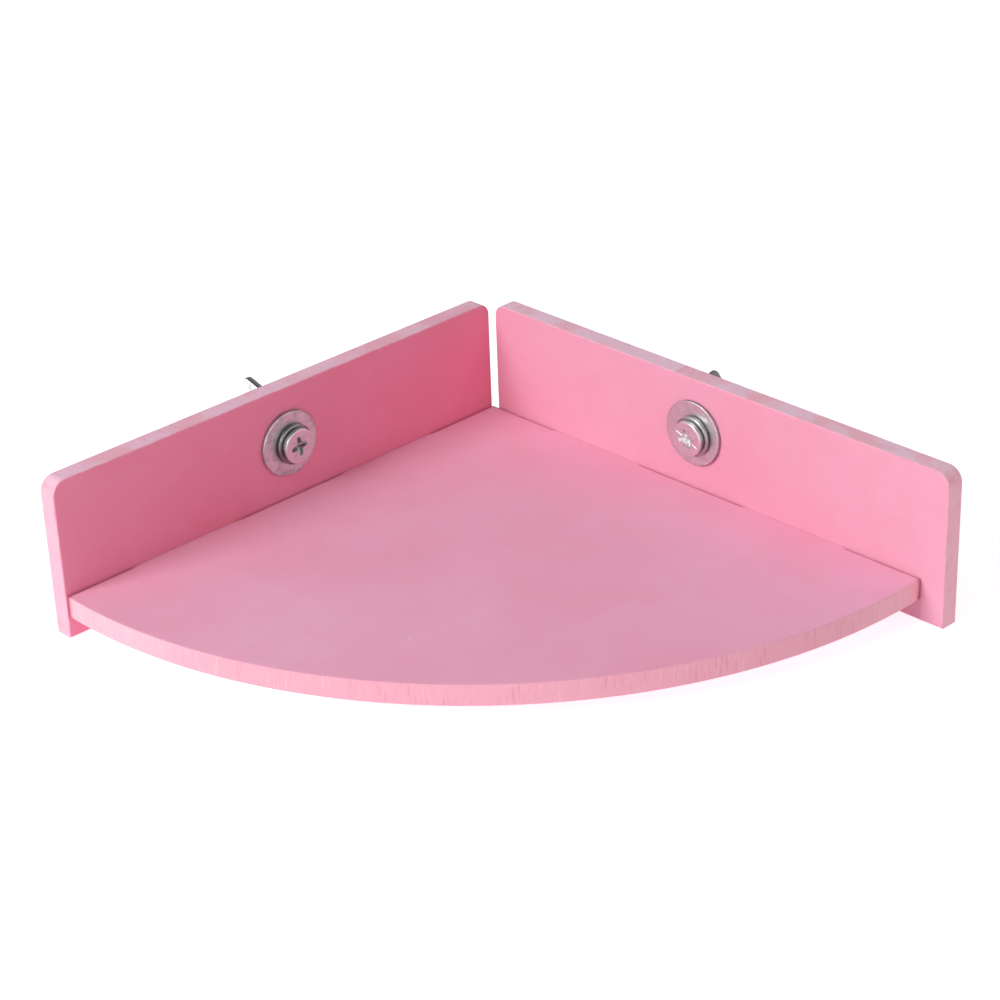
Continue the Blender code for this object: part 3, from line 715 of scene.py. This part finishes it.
def thread_shape(below, above, root, crest, start, turns, segments):
    """A turned body with a right-hand thread that fades into a plain ring at each end.

    'below' and 'above' are the profiles of (radius, height) before and after the thread.
    """
    shape = bmesh.new()
    steps = segments * turns

    def on_helix(step, radius, lift):
        angle = 2 * math.pi * (step % segments) / segments
        height = start + PITCH * (step / segments + lift)
        return shape.verts.new((radius * math.cos(angle), radius * math.sin(angle), height))

    def lane(lift):
        out = []
        for step in range(steps + 1):
            fade = min(1.0, 2 * step / segments, 2 * (steps - step) / segments)
            out.append(on_helix(step, root + (crest - root) * fade, lift))
        return out

    def plain_ring(radius, height):
        if radius == 0:
            return [shape.verts.new((0, 0, height))]
        angles = [2 * math.pi * i / segments for i in range(segments)]
        return [shape.verts.new((radius * math.cos(a), radius * math.sin(a), height)) for a in angles]

    def bridge(first, second):
        for i in range(segments):
            corners = [first[i % len(first)], first[(i + 1) % len(first)]]
            corners += [second[(i + 1) % len(second)], second[i % len(second)]]
            shape.faces.new(list(dict.fromkeys(corners)))

    roots = [on_helix(step, root, 0.0) for step in range(steps + segments + 1)]
    crests = lane(0.5)
    for k in range(steps):
        shape.faces.new((roots[k], roots[k + 1], crests[k + 1], crests[k]))
        shape.faces.new((crests[k], crests[k + 1], roots[k + 1 + segments], roots[k + segments]))
    lower = [plain_ring(radius, height) for radius, height in below]
    upper = [plain_ring(radius, height) for radius, height in above]
    for first, second in list(zip(lower, lower[1:])) + list(zip(upper, upper[1:])):
        bridge(first, second)
    ring = lower[-1]
    for i in range(segments - 1):
        shape.faces.new((ring[i], ring[i + 1], roots[i + 1], roots[i]))
    apex = roots[segments - 1]
    seam = [ring[-1], ring[0], roots[0], crests[0], roots[segments]]
    for first, second in zip(seam, seam[1:]):
        shape.faces.new((apex, first, second))
    ring = upper[0]
    for i in range(1, segments):
        shape.faces.new((roots[steps + i], roots[steps + i + 1], ring[(i + 1) % segments], ring[i]))
    apex = roots[steps + 1]
    seam = [ring[1], ring[0], roots[steps + segments], crests[steps], roots[steps]]
    for first, second in zip(seam, seam[1:]):
        shape.faces.new((apex, first, second))
    return shape


def cross_shape(turn):
    """A tapered cutter for the recess: four blunt arms on a broad centre, open towards the head's face."""
    shape = bmesh.new()
    rings = []
    for arm, tip, waist, level in (
        (0.0037, 0.0007, 0.0017, HEAD_FACE - 0.001),
        (0.0037, 0.0007, 0.0017, HEAD_FACE),
        (0.0031, 0.0006, 0.0014, HEAD_FACE + 0.0009),
        (0.0013, 0.0004, 0.0008, HEAD_FACE + 0.0017),
    ):
        ring = []
        for quarter in range(4):
            rotation = Matrix.Rotation(turn + quarter * math.pi / 2, 2)
            neck = waist * math.sqrt(0.5)
            for point in ((neck, -neck), (arm, -tip), (arm, tip)):
                ring.append(shape.verts.new((*(rotation @ Vector(point)), level)))
        rings.append(ring)
    for lower, upper in zip(rings, rings[1:]):
        for i in range(len(lower)):
            after = (i + 1) % len(lower)
            shape.faces.new((lower[i], lower[after], upper[after], upper[i]))
    shape.faces.new(list(reversed(rings[0])))
    shape.faces.new(rings[-1])
    return shape


def tick_shape(turn, width):
    """Four fine grooves between the arms of the cross."""
    length, depth, middle = 0.0031, 0.0005, 0.0037
    shape = bmesh.new()
    for quarter in range(4):
        rotation = Matrix.Rotation(turn + math.pi / 4 + quarter * math.pi / 2, 4, "Z")
        box = bmesh.ops.create_cube(shape, size=1.0)["verts"]
        scale = Matrix.Diagonal((length, width, depth, 1.0))
        place = Matrix.Translation((middle, 0, HEAD_FACE))
        bmesh.ops.transform(shape, matrix=rotation @ place @ scale, verts=box)
    return shape


def make_screw(side):
    """A pan-headed screw with a cross recess, from its head's face to the tip of its thread."""
    name = f"{side}_screw"
    edge = 0.00035
    below = [(0, HEAD_FACE), (0.0048, HEAD_FACE), (0.0056, HEAD_FACE)]
    for i in range(6):
        a = -math.pi / 2 + i * math.pi / 10
        below.append((HEAD_RADIUS - edge + edge * math.cos(a), HEAD_FACE + edge + edge * math.sin(a)))
    below += [(HEAD_RADIUS, HEAD_FACE + 0.0007), (HEAD_RADIUS, HEAD_FACE + 0.0012)]
    below += [(HEAD_RADIUS, HEAD_UNDER - 0.00025), (HEAD_RADIUS - 0.00012, HEAD_UNDER)]
    below += [(SCREW_MAJOR + 0.0003, HEAD_UNDER), (SCREW_MAJOR, HEAD_UNDER + 0.0003)]
    below += [(SCREW_MAJOR, THREAD_START - 0.00055), (SCREW_ROOT, THREAD_START)]
    above = [(SCREW_ROOT, SCREW_TIP - 0.0007), (SCREW_ROOT - 0.0007, SCREW_TIP), (0, SCREW_TIP)]
    shape = thread_shape(below, above, SCREW_ROOT, SCREW_MAJOR, THREAD_START + PITCH / 4, 17, 60)
    place = bolt_matrix(side)
    tone, seed = SCREW_PLATE_AS_LIT[side]
    material = zinc(f"{name}_plate", seed, tone, 0.2, 0.26, 0.2)
    made = new_piece(f"{name}_cut", shape, place, f"{side}_bolt", material, name)
    turn = SCREW_TURN[side]
    tools = [cross_shape(turn), tick_shape(turn, TICK_WIDTH[side])]
    cutters = [cutter(f"{name}_recess_{i}", tool, place, f"{side}_bolt") for i, tool in enumerate(tools)]
    for tool in cutters:
        cut(made, tool)
    applied(made, *cutters)

    def in_recess(co):
        return math.hypot(co.x, co.y) < RECESS_REACH and HEAD_FACE + 0.0002 < co.z < HEAD_UNDER

    def painted_shade(co, _):
        """Painted shade in the recess, and down the head's side towards the washer."""
        if in_recess(co):
            return RECESS_SHADE[side]
        if math.hypot(co.x, co.y) > HEAD_RADIUS - 0.0003 and HEAD_FACE < co.z < HEAD_UNDER + 0.0001:
            return min(0.85, 0.2 + 0.9 * max(0.0, co.z - HEAD_FACE - 0.0003) / 0.0017)
        return 0.0

    def rubbed_and_highlit(co, _):
        """Bright on the rim of the head's face, and a painted highlight on the walls of the recess."""
        if math.hypot(co.x, co.y) > 0.0058 and co.z < HEAD_FACE + 0.0003:
            return 1.0
        return RECESS_HIGHLIGHT[side] if in_recess(co) else 0.0

    mark(made.data, "painted_shade", painted_shade)
    mark(made.data, "wear_and_painted_light", rubbed_and_highlit)


def rounded_corner(before, corner, after, radius, segments):
    """An outline's corner as an arc."""
    back = (before - corner).normalized()
    ahead = (after - corner).normalized()
    half = back.angle(ahead) / 2
    centre = corner + (back + ahead).normalized() * (radius / math.sin(half))
    first = corner + back * (radius / math.tan(half)) - centre
    last = corner + ahead * (radius / math.tan(half)) - centre
    start = math.atan2(first.y, first.x)
    sweep = math.atan2(first.cross(last), first.dot(last))
    return arc_points(centre, radius, start, start + sweep, segments)


def wing_shape(number):
    """One cast wing, with rounded rims and a little thicker at its root."""
    root, thickness = 0.0036, 0.0028
    corners = [Vector((root, 0.001)), Vector((0.0156, 0.0016)), Vector((0.0189, 0.0132))]
    corners += [Vector((0.009, 0.0122)), Vector((root, 0.0075))]
    outline = [corners[0]]
    for before, corner, after, radius in zip(corners, corners[1:], corners[2:], (0.0035, 0.002, 0.003)):
        outline += rounded_corner(before, corner, after, radius, 8)
    outline = spaced(outline + [corners[-1]], 0.0008)
    turned = Matrix.Rotation(number * math.pi, 4, "Z") @ Matrix.Rotation(math.pi / 2, 4, "X")
    shape = board_shape(outline, thickness, 0.0005, Matrix.Translation((0, 0, -thickness / 2)))
    for vert in shape.verts:
        vert.co.z *= 1.0 + 0.3 * max(0.0, 1.0 - (vert.co.x - root) / 0.006)
    bmesh.ops.transform(shape, matrix=turned, verts=shape.verts)
    return shape


def make_wing_nut(side):
    """A cast hub and two wings, fused and smoothed, with a thread that follows the screw's."""
    name = f"{side}_wing_nut"
    profile = [(0, 0), (0.0055, 0), (0.0061, 0.0002), (0.0063, 0.0006), (0.0062, 0.0012)]
    profile += [(0.0055, 0.0066), (0.0053, 0.0078), (0.005, 0.0083), (0.0044, 0.0085), (0, 0.0085)]
    shape = turned_shape([(r, z, 0) for r, z in profile], 64)
    whole = bpy.data.meshes.new("spare")
    for number in range(2):
        part = wing_shape(number)
        bmesh.ops.recalc_face_normals(part, faces=part.faces)
        part.to_mesh(whole)
        part.free()
        shape.from_mesh(whole)
    bpy.data.meshes.remove(whole)
    place = bolt_matrix(side) @ Matrix.Translation((0, 0, NUT_BASE)) @ Matrix.Rotation(NUT_TURN[side], 4, "Z")
    tone, seed = NUT_PLATE_AS_LIT[side]
    material = zinc(f"{name}_plate", seed, tone, 0.5, 0.34)
    made = new_piece(f"{name}_cast", shape, place, f"{side}_nut", material, name)
    fused = made.modifiers.new("cast", "REMESH")
    fused.mode = "VOXEL"
    fused.voxel_size = 0.00032
    eased = made.modifiers.new("eased", "SMOOTH")
    eased.factor = 0.5
    eased.iterations = 5
    fewer = made.modifiers.new("fewer", "DECIMATE")
    fewer.ratio = 0.4
    turns = 13
    first = THREAD_START + PITCH / 4
    start = first + (math.floor((NUT_BASE - first) / PITCH) - 2) * PITCH
    low, high = start - OVERCUT, start + (turns + 1) * PITCH + OVERCUT
    root, crest = SCREW_ROOT + NUT_THREAD_CLEARANCE, SCREW_MAJOR + NUT_THREAD_CLEARANCE
    bore = thread_shape([(0, low), (root, low)], [(root, high), (0, high)], root, crest, start, turns, 40)
    tool = cutter(f"{name}_bore", bore, bolt_matrix(side), f"{side}_nut")
    cut(made, tool)
    applied(made, tool)

    thread_reach, hub_reach = 0.0034, 0.0085

    def film(co, normal):
        """Painted shade in the thread, and a painted dark reflection along the wings' narrow rims."""
        radius = math.hypot(co.x, co.y)
        if radius < thread_reach:
            return 0.7
        if radius <= hub_reach:
            return 0.0
        return 0.85 * max(0.0, min(1.0, 1.5 - 1.7 * abs(normal.y)))

    mark(made.data, "painted_shade", film)


def finish_brads():
    """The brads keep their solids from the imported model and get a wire's zinc."""
    for node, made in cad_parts.items():
        if "_brad_" in node:
            made.data.materials.clear()
            made.data.materials.append(zinc(f"{node}_wire", 5.0, 0.6, 0.4, 0.34))


# Stage, lights and camera


def make_stage():
    """A plain white floor. It glows a little, and more where the camera or a reflection sees it."""
    shape = bmesh.new()
    bmesh.ops.create_grid(shape, x_segments=8, y_segments=8, size=6.0)
    mesh = bpy.data.meshes.new("studio_floor")
    shape.to_mesh(mesh)
    shape.free()
    floor = bpy.data.objects.new("studio_floor", mesh)
    bpy.context.scene.collection.objects.link(floor)
    floor.location = (0, 0, -0.0002)
    n = Nodes("studio_white")
    tree = n.tree
    path = n.add("ShaderNodeLightPath")
    seen = n.math("MAXIMUM", path.outputs["Is Camera Ray"], path.outputs["Is Glossy Ray"])
    seen = n.math("MAXIMUM", seen, path.outputs["Is Transmission Ray"])
    glow = n.add("ShaderNodeEmission")
    glow.inputs["Color"].default_value = (1, 1, 1, 1)
    glow_level = n.add("ShaderNodeMapRange")
    n.put(glow_level.inputs["Value"], seen)
    glow_level.inputs["To Min"].default_value = 0.30
    glow_level.inputs["To Max"].default_value = 0.68
    n.put(glow.inputs["Strength"], glow_level.outputs["Result"])
    both = n.add("ShaderNodeAddShader")
    tree.links.new(n.shader.outputs[0], both.inputs[0])
    tree.links.new(glow.outputs[0], both.inputs[1])
    tree.links.new(both.outputs[0], tree.nodes["Material Output"].inputs["Surface"])
    n.finish(Base_Color=(0.86, 0.86, 0.86, 1), Roughness=0.9)
    n.shader.inputs["Specular IOR Level"].default_value = 0.0
    mesh.materials.append(n.material)


def make_world():
    """White where the camera or a reflection sees it, and a soft grey as a light."""
    world = bpy.data.worlds.new("studio")
    bpy.context.scene.world = world
    world.use_nodes = True
    tree = world.node_tree
    background = tree.nodes["Background"]
    background.inputs["Color"].default_value = (1, 1, 1, 1)
    path = tree.nodes.new("ShaderNodeLightPath")
    most = None
    for name in ("Is Camera Ray", "Is Glossy Ray", "Is Transmission Ray"):
        if most is None:
            most = path.outputs[name]
            continue
        node = tree.nodes.new("ShaderNodeMath")
        node.operation = "MAXIMUM"
        tree.links.new(most, node.inputs[0])
        tree.links.new(path.outputs[name], node.inputs[1])
        most = node.outputs[0]
    strength = tree.nodes.new("ShaderNodeMapRange")
    tree.links.new(most, strength.inputs["Value"])
    strength.inputs["To Min"].default_value = 0.36
    strength.inputs["To Max"].default_value = 1.0
    tree.links.new(strength.outputs["Result"], background.inputs["Strength"])
    # The studio is darker overhead, which only polished metal shows
    way = tree.nodes.new("ShaderNodeTexCoord")
    split = tree.nodes.new("ShaderNodeSeparateXYZ")
    tree.links.new(way.outputs["Generated"], split.inputs[0])
    overhead = tree.nodes.new("ShaderNodeMapRange")
    overhead.interpolation_type = "SMOOTHSTEP"
    tree.links.new(split.outputs[2], overhead.inputs["Value"])
    overhead.inputs["From Min"].default_value = 0.45
    overhead.inputs["From Max"].default_value = 0.85
    shade = tree.nodes.new("ShaderNodeMath")
    shade.operation = "MULTIPLY"
    tree.links.new(overhead.outputs["Result"], shade.inputs[0])
    tree.links.new(path.outputs["Is Glossy Ray"], shade.inputs[1])
    tint = tree.nodes.new("ShaderNodeMix")
    tint.data_type = "RGBA"
    tree.links.new(shade.outputs[0], tint.inputs["Factor"])
    tint.inputs[MIX_FIRST].default_value = (1, 1, 1, 1)
    tint.inputs[MIX_SECOND].default_value = (0.10, 0.10, 0.11, 1)
    tree.links.new(tint.outputs[MIX_RESULT], background.inputs["Color"])


def area_light(name, place, target, size, power):
    lamp = bpy.data.lights.new(name, "AREA")
    lamp.shape = "SQUARE"
    lamp.size = size
    lamp.energy = power
    made = bpy.data.objects.new(name, lamp)
    bpy.context.scene.collection.objects.link(made)
    made.location = place
    made.rotation_euler = (Vector(target) - Vector(place)).to_track_quat("-Z", "Y").to_euler()


def make_camera():
    """The photo's camera, as fitted to the boards' corners and edges."""
    data = bpy.data.cameras.new("photo_camera")
    camera = bpy.data.objects.new("photo_camera", data)
    bpy.context.scene.collection.objects.link(camera)
    camera.location = (0.020445, -0.807800, 0.444807)
    camera.rotation_euler = [math.radians(angle) for angle in (62.6231, 1.9145, 0.4932)]
    data.lens = 94.652
    data.sensor_width = 36.0
    bpy.context.scene.camera = camera


# The whole scene

make_floor()
make_wall("left", 2.0)
make_wall("right", 3.0)
for side in ("left", "right"):
    make_wide_washer(side, "front")
    make_wide_washer(side, "clamp")
    make_lock_washer(side)
    make_screw(side)
    make_wing_nut(side)
finish_brads()
make_stage()
make_world()
area_light("key_softbox", place=(-1.46, -1.08, 1.10), target=(0, 0, 0.02), size=0.9, power=32.3)
area_light("fill_softbox", place=(1.25, -1.30, 0.60), target=(0, 0, 0.02), size=1.2, power=3.0)
make_camera()
bpy.context.scene.view_settings.view_transform = "Standard"
